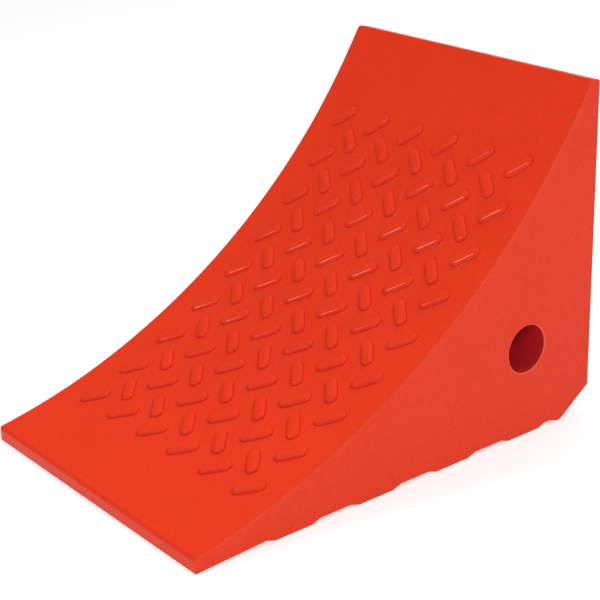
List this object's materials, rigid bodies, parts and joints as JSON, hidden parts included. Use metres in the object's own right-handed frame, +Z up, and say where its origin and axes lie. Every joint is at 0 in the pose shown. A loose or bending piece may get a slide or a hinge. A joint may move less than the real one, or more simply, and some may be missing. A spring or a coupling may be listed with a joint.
{
  "type": "wheel chock",
  "caption": "Solid polyurethane wedge that blocks a wheel: concave tyre face with raised diagonal bars, rope hole from side to side, bevelled heel and cleated base.",
  "frame": {"origin": "on the ground, at the middle of the chock's length and width", "axes": "+X along the chock's length from the thin toe to the tall heel, +Y across to the rounded mould side, +Z up"},
  "size_m": [0.287, 0.202, 0.203],
  "materials": {
    "cast_urethane": "satin"
  },
  "bodies": {
    "root": {"wedge_body": "cast_urethane", "tread_field": "cast_urethane", "traction_cleat_1": "cast_urethane", "traction_cleat_2": "cast_urethane", "traction_cleat_3": "cast_urethane", "traction_cleat_4": "cast_urethane", "heel_cleat": "cast_urethane"}
  },
  "joints": []
}
